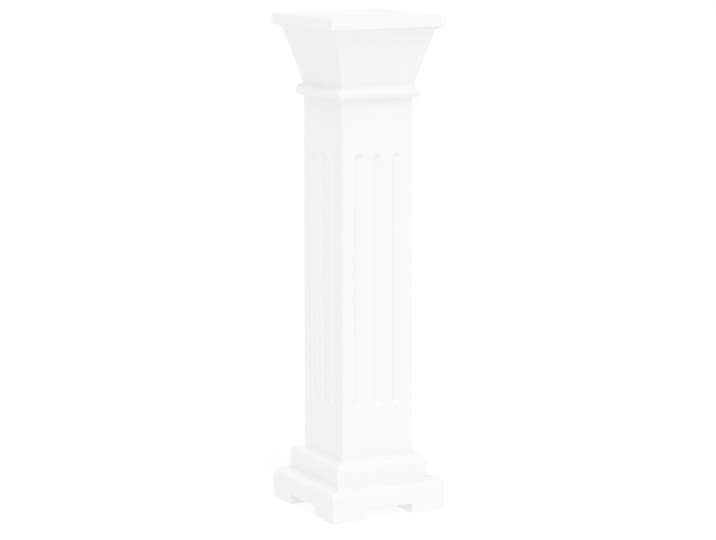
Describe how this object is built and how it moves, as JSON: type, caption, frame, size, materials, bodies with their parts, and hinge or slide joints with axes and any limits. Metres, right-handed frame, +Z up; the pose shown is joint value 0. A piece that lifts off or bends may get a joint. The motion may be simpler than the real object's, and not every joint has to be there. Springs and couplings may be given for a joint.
{
  "type": "column plant stand",
  "caption": "Square white pillar stand: a fluted shaft on a stepped plinth with corner feet, a bead collar and a flared capital under a flat square top plate.",
  "frame": {"origin": "middle of the footprint, on the surface that the feet stand on", "axes": "+Z up the column, -Y out of the front face, +X to the right of someone facing the front"},
  "size_m": [0.17, 0.17, 0.66],
  "materials": {
    "white_paint": "matt white paint on fibreboard"
  },
  "bodies": {
    "root": {"plinth": "white_paint", "base_block": "white_paint", "shaft": "white_paint", "collar": "white_paint", "capital": "white_paint", "top_plate": "white_paint"}
  },
  "joints": []
}
